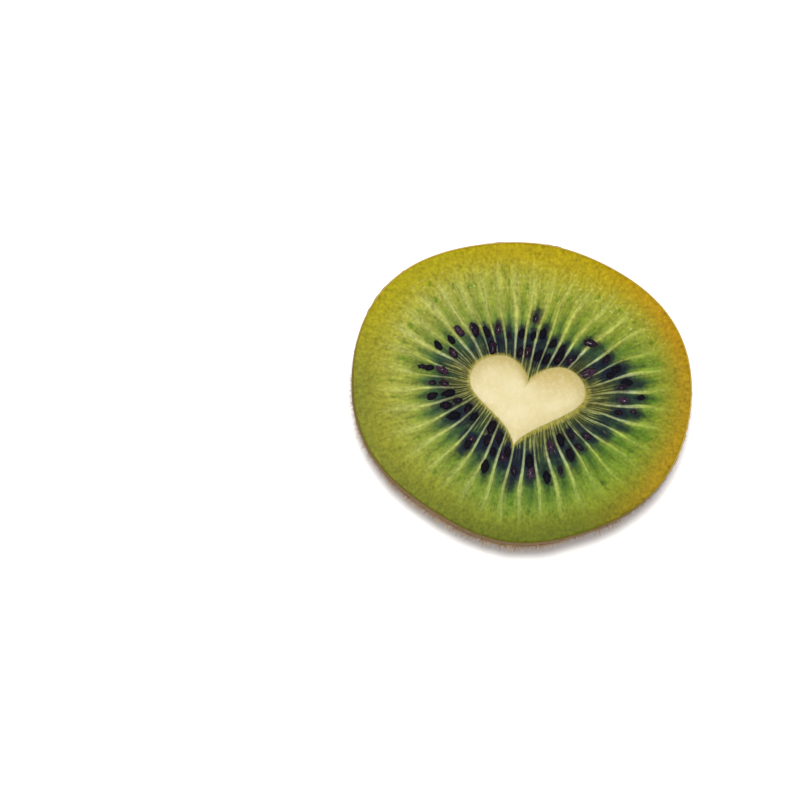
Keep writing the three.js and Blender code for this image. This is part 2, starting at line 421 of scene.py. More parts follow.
LIGHT_ON_THE_CUT = 1.75
HAZE = 0.011  # what the wet surface mirrors, on top of its colour


def paint(red, green, blue):
    """The share of light that a surface must throw back to look like this colour, from 0 to 255."""
    shown = np.array([red, green, blue]) / 255
    light = np.where(shown <= 0.04045, shown / 12.92, ((shown + 0.055) / 1.055) ** 2.4)
    return (*(np.maximum(light - HAZE, 0) / LIGHT_ON_THE_CUT).tolist(), 1.0)


print("a mid grey of 119 throws back", round(paint(119, 119, 119)[0], 3))


# %% Finishes and meshes
def new_finish(name, constants):
    """A material with a Principled shader, and the plan to write the rest of it."""
    material = bpy.data.materials.new(name)
    material.use_nodes = True
    shader = material.node_tree.nodes["Principled BSDF"]
    for socket, value in constants.items():
        shader.inputs[socket].default_value = value
    return material, Plan(material.node_tree), shader


def connect(plan, shader, wires):
    """Joins values to the shader's sockets, which are given by name."""
    for name, wire in wires.items():
        plan.tree.links.new(wire.socket, shader.inputs[name])


def object_place(plan):
    """The place on the object in millimetres, which stays put when the camera moves."""
    return plan.scale(plan.node("ShaderNodeTexCoord", {}, {}, "Object"), 1 / MM)


def split(plan, vector):
    """The three parts of a vector."""
    return [plan.node("ShaderNodeSeparateXYZ", {}, {"Vector": vector}, part) for part in "XYZ"]


def stored(plan, name):
    """A number that was stored with every point of the mesh."""
    return plan.node("ShaderNodeAttribute", {"attribute_name": name}, {}, "Fac")


def add_bump(plan, shader, height, depth):
    """Bumps of this depth in millimetres where the height goes from 0 to 1."""
    bump = plan.node("ShaderNodeBump", {}, {"Height": height, "Distance": depth * MM}, "Normal")
    connect(plan, shader, {"Normal": bump})


def ring_mesh(name, first_pole, rings, last_pole):
    """A closed mesh from rings of points, with a pole at each end. The rings run from inside to outside."""
    count = rings.shape[1]
    points = np.concatenate([[first_pole], rings.reshape(-1, 3), [last_pole]]) * MM
    here = np.arange(count)
    following = (here + 1) % count
    starts = 1 + count * np.arange(len(rings) - 1)[:, None]
    corners = [starts + here, starts + count + here, starts + count + following, starts + following]
    quads = np.stack(corners, -1).reshape(-1, 4).tolist()
    neighbours = list(zip(here.tolist(), following.tolist()))
    first_fan = [(0, 1 + i, 1 + j) for i, j in neighbours]
    last = 1 + count * (len(rings) - 1)
    last_fan = [(last + i, len(points) - 1, last + j) for i, j in neighbours]
    mesh = bpy.data.meshes.new(name)
    mesh.from_pydata(points.tolist(), [], first_fan + quads + last_fan)
    mesh.shade_smooth()
    return mesh


def store(mesh, name, values, pole_values=(0.0, 0.0)):
    """Stores a number with each point of a ring mesh."""
    first, last = pole_values
    numbers = np.concatenate([[first], values.ravel(), [last]]).astype(np.float32)
    mesh.attributes.new(name, "FLOAT", "POINT").data.foreach_set("value", numbers)


def rings_of(outline, scales, heights):
    """A ring for each scale and height, all of the same outline."""
    rings = np.empty((len(scales), len(outline), 3))
    rings[:, :, :2] = outline[None] * np.asarray(scales)[:, None, None]
    rings[:, :, 2] = np.asarray(heights)[:, None]
    return rings


def outline_points(angle, radius):
    """The points of an outline, from a radius in each direction."""
    return np.stack([np.cos(angle), np.sin(angle)], -1) * radius[:, None]


def smoothstep(value, start, end):
    """0 up to start and 1 from end on, with a soft change between."""
    share = np.clip((value - start) / (end - start), 0, 1)
    return share * share * (3 - 2 * share)


def finish_piece(mesh, name, material, node):
    """Makes an object of a finished mesh. It rides on the fruit's body and stands for one of its solids."""
    mesh.materials.clear()
    mesh.materials.append(material)
    piece = add_object(name, mesh)
    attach(piece, BODY)
    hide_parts(node)
    mesh.calc_loop_triangles()
    print(name, len(mesh.loop_triangles), "triangles")


def run_tree(mesh, tree, sizes):
    """Runs a Geometry Nodes tree on a mesh, with these sizes, and returns what it makes as a plain mesh."""
    worker = add_object("worker", mesh)
    modifier = worker.modifiers.new("nodes", "NODES")
    modifier.node_group = tree
    for item in tree.interface.items_tree:
        if item.in_out == "INPUT" and item.name in sizes:
            modifier[item.identifier] = sizes[item.name]
    depsgraph = bpy.context.evaluated_depsgraph_get()
    evaluated = worker.evaluated_get(depsgraph)
    made = bpy.data.meshes.new_from_object(evaluated, preserve_all_data_layers=True, depsgraph=depsgraph)
    bpy.data.objects.remove(worker)
    return made


def new_tree(name, size_names, whole_names=()):
    """A Geometry Nodes tree with a geometry in and out and named sizes. Returns its plan and its inputs."""
    tree = bpy.data.node_groups.new(name, "GeometryNodeTree")
    tree.interface.new_socket("Geometry", in_out="INPUT", socket_type="NodeSocketGeometry")
    for size_name in size_names:
        tree.interface.new_socket(size_name, in_out="INPUT", socket_type="NodeSocketFloat")
    for whole_name in whole_names:
        tree.interface.new_socket(whole_name, in_out="INPUT", socket_type="NodeSocketInt")
    tree.interface.new_socket("Geometry", in_out="OUTPUT", socket_type="NodeSocketGeometry")
    plan = Plan(tree)
    start = tree.nodes.new("NodeGroupInput")
    return plan, {socket.name: Wire(plan, socket) for socket in start.outputs if socket.name}


def end_tree(plan, geometry, material=None):
    """Realizes the copies, gives them their material and closes the tree."""
    real = plan.node("GeometryNodeRealizeInstances", {}, {"Geometry": geometry})
    if material:
        real = plan.node("GeometryNodeSetMaterial", {}, {"Geometry": real, "Material": material})
    end = plan.tree.nodes.new("NodeGroupOutput")
    plan.tree.links.new(real.socket, end.inputs[0])


def read(plan, name):
    """A stored number, in a Geometry Nodes tree."""
    return plan.node("GeometryNodeInputNamedAttribute", {"data_type": "FLOAT"}, {"Name": name}, "Attribute")


def real_copies(plan, copies, seed):
    """Gives each copy a random number of its own, stored as "own", and makes the copies real."""
    settings = {"data_type": "FLOAT", "domain": "INSTANCE"}
    inputs = {"Geometry": copies, "Name": "own", "Value": plan.random(0.0, 1.0, seed)}
    marked = plan.node("GeometryNodeStoreNamedAttribute", settings, inputs)
    return plan.node("GeometryNodeRealizeInstances", {}, {"Geometry": marked})


def push(plan, geometry, distance):
    """Moves each point along its normal."""
    normal = plan.node("GeometryNodeInputNormal", {}, {}, "Normal")
    inputs = {"Geometry": geometry, "Offset": plan.scale(normal, distance)}
    return plan.node("GeometryNodeSetPosition", {}, inputs)


# %% The floor
FLOOR_SIZE = 6.0

floor_finish, plan, floor_shader = new_finish("pale_floor", {"Roughness": 0.6})
floor_tones = plan.noise(object_place(plan), 90.0)
floor_colour = plan.mix(floor_tones, (0.93, 0.93, 0.935, 1), (0.95, 0.95, 0.95, 1))
connect(plan, floor_shader, {"Base Color": floor_colour})
floor_mesh = bpy.data.meshes.new("floor")
floor_sides = [(-1, -1), (1, -1), (1, 1), (-1, 1)]
floor_corners = [(x * FLOOR_SIZE / 2, y * FLOOR_SIZE / 2, 0) for x, y in floor_sides]
floor_mesh.from_pydata(floor_corners, [], [(0, 1, 2, 3)])
floor_mesh.materials.append(floor_finish)
floor = add_object("floor", floor_mesh)
print("floor, m:", FLOOR_SIZE)

# %% [markdown]
# The seeds' places
#
# A kiwi's seeds stand in the chambers, in a rough ring round the core, with their points outwards. The
# rule goes from chamber to chamber and draws whether one is there and how it is turned. It comes before
# the flesh, because the flesh needs to know where the seeds are: it is darkest round them. Seeds that
# the knife left under the surface show only as dim blots, so they are drawn here too and painted later.

# %% Where the seeds are
SEED_LENGTH = 2.35
SEED_WIDTH = 1.34
SEED_THICKNESS = 1.15
CHAMBER_DEPTH = 0.2
SEED_SUNK = 0.2
SEED_GAP = 0.3
SEED_LEVEL = 1.43
SEED_WAVES = [(1, 0.13, -30), (2, 0.27, 1), (3, 0.16, 30), (4, 0.17, 12.5), (5, 0.08, 10)]
# Level from the ring's, chance that a chamber has one
SEED_ROWS = [(0.1, 0.92), (-0.3, 0.58), (0.38, 0.1)]
DEEP_SEED_ROWS = [(-0.18, 0.7), (0.22, 0.45)]
ACROSS_SPREAD = 0.36
LEVEL_SPREAD = 0.28
TURN_SPREAD = 0.7
SCALE_SPREAD = 0.36
SUNK_SPREAD = 0.26
LOOSE_SEED = (10.9, 7.9)
LOOSE_SEED_TURN = -0.2
LOOSE_SEED_SUNK = 0.1
SERIES_PER_ROW = 10
DEEP_SERIES = 100
OUTWARD_STEP = 0.02


def ring_level(direction):
    """The level of the middle of the ring of seeds."""
    return SEED_LEVEL + wave_sum(SEED_WAVES, direction)


def draw_round(width, item, series):
    """A repeatable draw round zero, of this width from least to most."""
    return width * (draw(item, series) - 0.5)


def seed_in_chamber(chamber, series, row_level):
    """The x, y, turn, scale and sinking of one seed. It moves outwards until it is clear of the core."""
    direction = chamber_direction(chamber, 0.5 + draw_round(ACROSS_SPREAD, chamber, series))
    level = ring_level(direction) + row_level + draw_round(LEVEL_SPREAD, chamber, series + 1)
    place = place_on_cut(direction, level)
    while (
        np.hypot(*place) < heart_radius(np.arctan2(place[1], place[0]))[0]
        or heart_distance(place) < SEED_LENGTH / 2 + SEED_GAP
    ):
        level += OUTWARD_STEP
        place = place_on_cut(direction, level)
    ahead = place_on_cut(direction, level + OUTWARD_STEP) - place
    turn = np.arctan2(ahead[1], ahead[0]) + draw_round(TURN_SPREAD, chamber, series + 2)
    scale = 1 + draw_round(SCALE_SPREAD, chamber, series + 3)
    return (*place, turn, scale, CHAMBER_DEPTH + SEED_SUNK + draw_round(SUNK_SPREAD, chamber, series + 4))


def seed_rows(rows, first_series):
    """The seeds of some rows as an array, without those beside the loose seed."""
    seeds = []
    for chamber in range(CHAMBERS):
        for row, (row_level, chance) in enumerate(rows):
            if draw(chamber, first_series + row + 1) > chance:
                continue
            seed = seed_in_chamber(chamber, first_series + SERIES_PER_ROW * (row + 1), row_level)
            if np.hypot(seed[0] - LOOSE_SEED[0], seed[1] - LOOSE_SEED[1]) > SEED_LENGTH:
                seeds.append(seed)
    return np.array(seeds)


SEEDS = np.vstack([[*LOOSE_SEED, LOOSE_SEED_TURN, 1.0, LOOSE_SEED_SUNK], seed_rows(SEED_ROWS, 0)])
DEEP_SEEDS = seed_rows(DEEP_SEED_ROWS, DEEP_SERIES)
print("seeds:", len(SEEDS), "and under the surface:", len(DEEP_SEEDS))


# %% How far each place is from a seed
def seed_distance(seeds, places):
    """For each place, how many times further it is from the nearest seed's middle than that seed's edge."""
    nearest = np.full(len(places), np.inf)
    for x, y, turn, scale, _ in seeds:
        dx = places[:, 0] - x
        dy = places[:, 1] - y
        along = (dx * np.cos(turn) + dy * np.sin(turn)) / (SEED_LENGTH * scale / 2)
        aside = (dy * np.cos(turn) - dx * np.sin(turn)) / (SEED_WIDTH * scale / 2)
        nearest = np.minimum(nearest, np.hypot(along, aside))
    return nearest


print("at the loose seed:", seed_distance(SEEDS, np.array([LOOSE_SEED]))[0])

# %% [markdown]
# The flesh
#
# The flesh is one closed body: a pocket for the core, the cut face, and a side that lies against the inner
# face of the skin. A sculpted or remeshed face would blur the thin walls. So the points of the cut are laid
# along the rays themselves, eighteen columns to a chamber, and each wall runs exactly along a column, which
# wanders a little on its way. Every point also stores what it is near: its reach from core to skin, how far
# it is beyond the ring of seeds, and the nearest wall, seed and green bundle.

# %% The grid of the cut face
COLUMNS_PER_CHAMBER = 18
FACE_ROWS = 108
RIM_ROWS = 6
RIM_SHARE = 0.965
POCKET_OVERLAP = 0.2
RIM_FLESH_DROP = 0.12
WANDER = 0.1  # how far a wall leaves its line, as a share of a chamber
WANDER_TURNS = 0.55  # times from side to side for each level
WANDER_SERIES = 301

column_chamber = np.repeat(np.arange(CHAMBERS), COLUMNS_PER_CHAMBER)
column_across = np.tile(np.arange(COLUMNS_PER_CHAMBER) / COLUMNS_PER_CHAMBER, CHAMBERS)
column_direction = chamber_direction(column_chamber, column_across)


def wall_wander(wall, level):
    """How far to one side a wall is at a level, from -1 to 1. The last wall is also the first."""
    return np.sin(2 * np.pi * (level * WANDER_TURNS + draw(wall % CHAMBERS, WANDER_SERIES)))


core_level = level_where(column_direction, heart_radius)
pocket_level = level_where(column_direction, lambda angle: heart_radius(angle) - POCKET_OVERLAP)
inner_level = level_where(column_direction, lambda angle: skin_radius(angle) - SKIN_THICKNESS)
reach_rows = np.concatenate([
    np.linspace(0, RIM_SHARE, FACE_ROWS, endpoint=False),
    np.linspace(RIM_SHARE, 1, RIM_ROWS),
])[:, None]
level_grid = pocket_level + (inner_level - pocket_level) * reach_rows
reach_grid = np.clip((level_grid - core_level) / (inner_level - core_level), 0, 1)
first_wander = (1 - column_across) * wall_wander(column_chamber, level_grid)
second_wander = column_across * wall_wander(column_chamber + 1, level_grid)
wander_grid = (first_wander + second_wander) * reach_grid * (1 - reach_grid) * 4
direction_grid = column_direction + wander_grid * WANDER * 2 * np.pi / CHAMBERS
face_places = place_on_cut(direction_grid, level_grid)
print("points on the cut:", level_grid.size)

# %% What each point of the cut is near
# Reach of a row of bundles, chance that a chamber has one
BUNDLE_ROWS = [(0.69, 0.85), (0.8, 0.4)]
BUNDLE_REACH_SPREAD = 0.14
BUNDLE_ACROSS_SPREAD = 0.4
BUNDLE_LENGTH = 1.2
BUNDLE_WIDTH = 0.7
BUNDLE_SERIES = 200
SHADE_SHIFT = -0.09  # the dark shade lies a little nearer to the core than the seeds, in levels
SHADE_WAVES = [(1, 0.04, -36), (2, 0.08, 75), (4, 0.05, -31), (5, 0.04, -33)]
FAR = 9.0  # stands for a thing that isn't there

chamber_start = place_on_cut(wall_direction(column_chamber)[None], level_grid)
chamber_end = place_on_cut(wall_direction(column_chamber + 1)[None], level_grid)
chamber_width = lengths(chamber_end - chamber_start)
wall_grid = np.minimum(column_across, 1 - column_across) * chamber_width
core_places = place_on_cut(column_direction, core_level)
core_gap_grid = lengths(face_places - core_places[None])
inner_places = place_on_cut(column_direction, inner_level)
rim_gap_grid = lengths(face_places - inner_places[None])
seed_grid = seed_distance(SEEDS, face_places.reshape(-1, 2)).reshape(level_grid.shape)
deep_seed_grid = seed_distance(DEEP_SEEDS, face_places.reshape(-1, 2)).reshape(level_grid.shape)

shade_level = ring_level(column_direction) + SHADE_SHIFT + wave_sum(SHADE_WAVES, column_direction)
beyond_grid = level_grid - shade_level
ray_length = lengths(inner_places - core_places)
bundle_grid = np.full(level_grid.shape, FAR)
for row, (row_reach, chance) in enumerate(BUNDLE_ROWS):
    series = BUNDLE_SERIES + SERIES_PER_ROW * row
    bundle_reach = row_reach + draw_round(BUNDLE_REACH_SPREAD, column_chamber, series)
    bundle_across = 0.5 + draw_round(BUNDLE_ACROSS_SPREAD, column_chamber, series + 1)
    along = (reach_grid - bundle_reach) * ray_length / (BUNDLE_LENGTH / 2)
    aside = (column_across - bundle_across) * chamber_width / (BUNDLE_WIDTH / 2)
    is_there = draw(column_chamber, series + 2) < chance
    bundle_grid = np.minimum(bundle_grid, np.where(is_there, np.hypot(along, aside), FAR))
print("widest chamber at the skin, mm:", round(chamber_width[-1].max(), 1))

# %% The flesh's rings
CHAMBER_LEVELS = (0.5, 0.9, 2.4)
SIDE_RINGS = 14
SIDE_CROWDING = 1.1  # the power that gathers the side's rings towards the cut and the round end
SKIN_GAP = 0.04
POCKET_SCALE = 0.95
POCKET_HEIGHT = HEIGHT - 2.6

start, deepest, end = CHAMBER_LEVELS
chamber_grid = smoothstep(level_grid, start, deepest) * (1 - smoothstep(level_grid, deepest, end))
basin_grid = 1 - np.abs(2 * column_across - 1) ** 4
rim_share_grid = np.clip((reach_rows - RIM_SHARE) / (1 - RIM_SHARE), 0, 1)
face_rings = np.dstack([face_places, HEIGHT - RIM_FLESH_DROP * rim_share_grid**2 + 0 * level_grid])
pocket_outline = place_on_cut(column_direction, pocket_level)
pocket_rings = rings_of(pocket_outline, [CORE_FOOT_SCALE, POCKET_SCALE], [CORE_FOOT, POCKET_HEIGHT])
skin_level = level_where(column_direction, skin_radius)
skin_outline = place_on_cut(column_direction, skin_level)


def barrel_profile(count, inset):
    """(radius, height) pairs down the fruit's side, this far inside its skin."""
    depth = HEIGHT * np.sin(shares(count) * np.pi / 2) ** SIDE_CROWDING
    radius = MEAN_RADIUS * side_scale(depth)
    slope = np.gradient(radius, -depth)
    normal = np.stack([np.ones_like(slope), -slope]) / np.hypot(1, slope)
    radius = radius - inset * normal[0]
    height = HEIGHT - depth - inset * normal[1]
    return radius, np.maximum(height, inset)


flesh_radius, flesh_height = barrel_profile(SIDE_RINGS, SKIN_THICKNESS + SKIN_GAP)
flesh_side = rings_of(skin_outline, flesh_radius / MEAN_RADIUS, flesh_height)
flesh_rings = np.concatenate([pocket_rings, face_rings, flesh_side])
flesh_foot = DIMPLE_DEPTH + SKIN_THICKNESS + SKIN_GAP
flesh_mesh = ring_mesh("flesh", (0, 0, CORE_FOOT), flesh_rings, (0, 0, flesh_foot))


def over_face(grid, before, after):
    """Values for every ring of the flesh: the same above and below, and the grid on the cut face."""
    above = np.full((len(pocket_rings), grid.shape[1]), before)
    below = np.full((len(flesh_side), grid.shape[1]), after)
    return np.concatenate([above, grid, below])


on_face_grid = smoothstep(rim_gap_grid, 0, 0.6) * smoothstep(core_gap_grid, 0, 0.5)
# Name, values on the cut, value in the pocket, value under the skin
FLESH_NUMBERS = [
    ("reach", reach_grid, 0, 1),
    ("beyond", beyond_grid, -1, 2),
    ("wall", wall_grid, 1, 1),
    ("core_gap", core_gap_grid, 0, 2 * FAR),
    ("seed", seed_grid, FAR, FAR),
    ("deep_seed", deep_seed_grid, FAR, FAR),
    ("bundle", bundle_grid, FAR, FAR),
    ("basin", chamber_grid * basin_grid, 0, 0),
    ("face", on_face_grid, 0, 0),
]
for name, grid, in_pocket, under_skin in FLESH_NUMBERS:
    store(flesh_mesh, name, over_face(grid, in_pocket, under_skin), (in_pocket, under_skin))
print("flesh rings:", len(flesh_rings), "and numbers with each point:", len(FLESH_NUMBERS))

# %% The map of rays
# The map's first number says which chamber a place is in and how far across it, and its second the level.
LEVEL_SPAN = 4.0
level_rings = over_face(level_grid, pocket_level, skin_level)
point_column = np.concatenate([[0], np.tile(np.arange(len(column_across)), len(flesh_rings)), [0]])
point_level = np.concatenate([[0], level_rings.ravel(), [0]])
corner_point = np.empty(len(flesh_mesh.loops), int)
flesh_mesh.loops.foreach_get("vertex_index", corner_point)
face_start = np.empty(len(flesh_mesh.polygons), int)
flesh_mesh.polygons.foreach_get("loop_start", face_start)
corner_column = point_column[corner_point].astype(float)
face_of_corner = np.searchsorted(face_start, np.arange(len(corner_point)), side="right") - 1
crosses_seam = np.zeros(len(face_start), bool)
np.logical_or.at(crosses_seam, face_of_corner, corner_column == len(column_across) - 1)
corner_column[crosses_seam[face_of_corner] & (corner_column == 0)] = len(column_across)
rays = flesh_mesh.uv_layers.new(name="rays")
ray_values = np.stack([corner_column / len(column_across), point_level[corner_point] / LEVEL_SPAN], -1)
rays.uv.foreach_set("vector", ray_values.ravel().astype(np.float32))
print("corners on the map:", len(corner_point))

# %% [markdown]
# Relief by Geometry Nodes
#
# The soft chambers sink a little below their walls once they are cut, and the walls stand up as thin
# ridges. The cells themselves make a fine grain. A short tree adds all three to the flat grid from the
# numbers stored with the points, and its sizes are named inputs, so any of them can be tried alone.

# %% The relief of the cut
plan, sizes = new_tree("cut_relief", ["Chamber depth", "Wall height", "Grain height", "Grain size", "Swell"])
place = plan.node("GeometryNodeInputPosition")
wall_ridge = plan.fade(read(plan, "wall"), 0.34, 0.0) * plan.fade(read(plan, "reach"), 0.9, 0.3)
grain_inputs = {"Vector": place, "Scale": 1 / MM / sizes["Grain size"], "Detail": 2.0}
grain = plan.node("ShaderNodeTexNoise", {}, grain_inputs, "Fac")
swell = plan.noise(place, 7 * MM, 1.0)
lift = (
    wall_ridge * sizes["Wall height"]
    - read(plan, "basin") * sizes["Chamber depth"]
    + (grain - 0.5) * sizes["Grain height"]
    + (swell - 0.5) * sizes["Swell"]
)
offset = plan.vector(0.0, 0.0, lift * read(plan, "face") * MM)
moved = plan.node("GeometryNodeSetPosition", {}, {"Geometry": sizes["Geometry"], "Offset": offset})
end_tree(plan, moved)
relief_sizes = {
    "Chamber depth": CHAMBER_DEPTH,
    "Wall height": 0.08,
    "Grain height": 0.05,
    "Grain size": 0.5,
    "Swell": 0.3,
}
flesh_mesh = run_tree(flesh_mesh, plan.tree, relief_sizes)
print("relief:", relief_sizes)

# %% [markdown]
# The finish of the flesh
#
# Kiwi flesh is wet and lets light in, so it takes subsurface scattering, and a coat where juice stands on it
# in specks. Its colours follow the fruit's own plan: dark olive by the core, blue-green and nearly black
# round the seeds, fresh green to the chambers' tips, then yellow-green to the rim. A photograph pasted on
# would carry its own light and pixels. Masks from the stored numbers put each colour where the anatomy has
# it, at any closeness. In the masks, x, y and all widths are in millimetres.
# Masks by place also paint shade to the lower right, an amber glow of light through the rim and glints.

# %% Flesh: reading the anatomy
flesh_finish, plan, flesh_shader = new_finish("kiwi_flesh", {
    "Subsurface Weight": 0.3,
    "Subsurface Radius": (0.7, 1.0, 0.25),
    "Subsurface Scale": 0.5 * MM,
    "Specular IOR Level": 0.08,
    "Coat Roughness": 0.12,
})
place = object_place(plan)
x, y, _ = split(plan, place)
ray_map = plan.node("ShaderNodeUVMap", {"uv_map": "rays"})
turn, level, _ = split(plan, ray_map)
turn = turn * CHAMBERS
level = level * LEVEL_SPAN
reach = stored(plan, "reach")
beyond = stored(plan, "beyond")
wall = stored(plan, "wall")
core_gap = stored(plan, "core_gap")
middle = 1 - (turn.sum("FRACT") * 2 - 1).sum("ABSOLUTE")
wall_number = (turn + 0.5).sum("FLOOR").sum("MODULO", CHAMBERS)
one_number = {"noise_dimensions": "1D"}
own = plan.node("ShaderNodeTexWhiteNoise", one_number, {"W": turn.sum("FLOOR")}, "Value")
wall_own = plan.node("ShaderNodeTexWhiteNoise", one_number, {"W": wall_number + 0.5}, "Value")
streaks = plan.streaks(turn * 4, level * 1.3, 3.0)
fine_streaks = plan.streaks(turn * 10, level * 2.4)
fibres = plan.streaks(turn * 7, level * 6)
cells = plan.noise(place, 0.5, 3.0)
blots = plan.noise(place, 0.9, 2.0)
clouds = plan.noise(place, 2.4, 2.0)
print("flesh: anatomy read")

# %% Flesh: colours along the rays
RING_START = -0.7  # how far beyond the ring of seeds the next two ramps start and end, in levels
RING_END = 1.2


def ring_stops(stops):
    """Stops given by their level beyond the ring of seeds, as the 0 to 1 that a ramp takes."""
    return [((beyond_ring - RING_START) / (RING_END - RING_START), colour) for beyond_ring, colour in stops]


outer_ramp = [
    (0.30, paint(128, 142, 58)),
    (0.50, paint(149, 160, 64)),
    (0.68, paint(169, 173, 72)),
    (0.84, paint(174, 172, 58)),
    (1.00, paint(178, 164, 36)),
]
chamber_ramp = ring_stops([
    (-0.70, paint(92, 92, 48)),
    (-0.45, paint(76, 82, 46)),
    (-0.22, paint(62, 76, 50)),
    (0.02, paint(54, 74, 54)),
    (0.20, paint(62, 90, 58)),
    (0.40, paint(82, 110, 60)),
    (0.65, paint(108, 134, 58)),
    (0.95, paint(134, 152, 58)),
])
wall_ramp = ring_stops([
    (-0.70, paint(148, 144, 88)),
    (-0.30, paint(166, 170, 124)),
    (0.10, paint(186, 194, 150)),
    (0.45, paint(198, 206, 142)),
    (1.00, paint(198, 202, 116)),
])
tongue = (1 - middle) * (1 - middle) * plan.fade(beyond, -0.1, 0.5) * 0.6 + (own - 0.5) * 0.3
uneven = (clouds - 0.5) * 0.5 + (streaks - 0.5) * 0.5 + plan.fade(y - x, 11.0, 20.0) * 0.16
ring_place = (beyond + tongue + uneven - RING_START) / (RING_END - RING_START)
outer_colour = plan.node("ShaderNodeValToRGB", {"stops": outer_ramp}, {"Fac": reach})
chamber_colour = plan.node("ShaderNodeValToRGB", {"stops": chamber_ramp}, {"Fac": ring_place})
wall_colour = plan.node("ShaderNodeValToRGB", {"stops": wall_ramp}, {"Fac": ring_place})
tip = 0.9 + (own - 0.5) * 0.4 + (streaks - 0.5) * 0.7
inside_chamber = plan.fade(tip - beyond - (1 - middle) * 0.3, -0.3, 0.3)
flesh_colour = plan.mix(inside_chamber, outer_colour, chamber_colour)
print("stops:", len(outer_ramp) + len(chamber_ramp) + len(wall_ramp))

# %% Flesh: walls and fine lines
along_wall = plan.streaks(wall_number * 7, level * 2.2)
wall_half = 0.13 + plan.fade(beyond, -0.4, 0.9) * 0.12 - plan.fade(reach, 0.55, 0.9) * 0.14
wall_edge = wall / (wall_half * (0.5 + wall_own * 0.5 + along_wall * 0.6))
wall_strength = 0.6 + wall_own * 0.4 + (along_wall - 0.5) * 0.8 - plan.fade(y - x, 6.0, 24.0) * 0.2
wall_core = plan.fade(wall_edge, 1.5, 0.5) * plan.fade(reach, 0.96, 0.52)
glow_strength = 0.4 + plan.fade(y - x, 4.0, 16.0) * 0.3
wall_glow = plan.fade(wall, 0.95, 0.1) * plan.fade(beyond, 0.1, 0.8) * plan.fade(reach, 0.92, 0.6)
wall_mask = wall_core.sum("MAXIMUM", wall_glow * glow_strength) * wall_strength
line_sway = plan.streaks(turn * 2, level * 0.7, 1.0) * 2.4
line_edge = (turn * 3 + line_sway).sum("PINGPONG", 0.5) * 2
line_own = plan.streaks(turn * 3, level * 1.5 + 7, 1.0)
fine_mask = plan.fade(line_edge, 0.5, 0.15) * plan.fade(line_own, 0.36, 0.56)
fine_mask = fine_mask * plan.fade(beyond, 0.1, -0.35)
fine_strength = 0.45 + plan.fade(y + x * 0.3, 7.0, -1.0) * 0.5
flesh_colour = plan.mix(fine_mask * fine_strength, flesh_colour, paint(172, 174, 102))
print("walls fade from 52 to 96 per cent of the way out")

# %% Flesh: dark round the seeds, green bundles
pale_side = plan.fade(y * 0.3 - x, 7.0, 14.0) * 0.7 + plan.fade(x - y, 12.0, 20.0) * 0.2
dark_side = plan.fade(y + x * 0.6, -6.0, -12.0) * 0.9
halo_strength = 0.85 - pale_side
above_core = plan.fade(y + x * 0.4, 3.0, 7.0)
upper_notch = plan.fade(core_gap, 2.2, 0.4) * above_core
seed_halo = plan.fade(stored(plan, "seed") + (blots - 0.5) * 1.8, 2.15, 0.75)
deep_halo = plan.fade(stored(plan, "deep_seed") + (blots - 0.5) * 2.0 - dark_side, 1.85, 0.25)
bundle = plan.fade(stored(plan, "bundle") + (cells - 0.5) * 1.2, 1.5, 0.1)
fringe_reach = plan.streaks(turn * 5, 3.0) * (1.3 + plan.fade(x - y, 2.0, 12.0) * 0.9)
fringe = plan.fade(core_gap - fringe_reach, -0.1, -0.6) * (0.8 - above_core * 0.6)
flesh_colour = plan.layers(flesh_colour, [
    (upper_notch * 0.5, paint(34, 38, 42)),
    (seed_halo * halo_strength, paint(30, 36, 48)),
    (deep_halo * halo_strength, paint(28, 36, 54)),
    (wall_mask * (1 - seed_halo * 0.3 - upper_notch * 0.3), wall_colour),
    (bundle * (0.42 + own * 0.45), paint(88, 134, 12)),
    (fringe, paint(192, 180, 88)),
])
print("rows of bundles:", len(BUNDLE_ROWS))

# %% Flesh: painted shade to the lower right, painted glow and shade at the rim
# Painted shade: the flesh darkens to the lower right, less on the walls and near the rim.
lit = plan.fade(y * 0.84 - x * 0.54, -20.0, 15.0)
shaded_share = (1 - lit) * (0.4 + plan.fade(beyond, 0.0, 0.8) * 0.6)
shade_colour = plan.mix(plan.fade(beyond, 0.1, 0.7), (0.6, 0.8, 0.76, 1), (0.51, 0.73, 0.5, 1))
shaded_share = shaded_share * (1 - wall_mask * 0.35) * (1 - plan.fade(reach, 0.64, 0.8) * 0.22)
flesh_colour = plan.mix(shaded_share, flesh_colour, shade_colour, "MULTIPLY")
edge = plan.fade(reach + (clouds - 0.5) * 0.1, 0.68, 0.98)
# Rim: its own yellow-green, with painted glow at the top and right and painted shade at the bottom.
upper_rim_glow = plan.mix(plan.fade(x, 2.0, -18.0), paint(188, 168, 28), paint(180, 171, 32))
rim_colour = plan.mix(plan.fade(y - x * 0.1, 2.0, 18.0), paint(138, 143, 52), upper_rim_glow)
rim_colour = plan.mix(plan.fade(y, -9.0, -24.0), rim_colour, paint(110, 121, 42))
amber_glow = plan.fade(x, 8.0, 25.0) * (0.7 + plan.fade(y, 0.0, 10.0) * 0.2)
amber_glow = amber_glow * (0.55 + plan.fade(reach, 0.76, 0.97) * 0.45)
rim_colour = plan.mix(amber_glow, rim_colour, paint(194, 148, 8))
flesh_colour = plan.mix(edge * 0.94, flesh_colour, rim_colour)
# Painted warm glow: less blue to the right and top, from the ring of seeds outwards.
golden_glow_share = plan.fade(x + y * 0.4, -6.0, 12.0) * plan.fade(beyond, 0.0, 0.6)
flesh_colour = plan.mix(golden_glow_share, flesh_colour, (1.0, 1.0, 0.72, 1), "MULTIPLY")
print("rim: painted by its place")
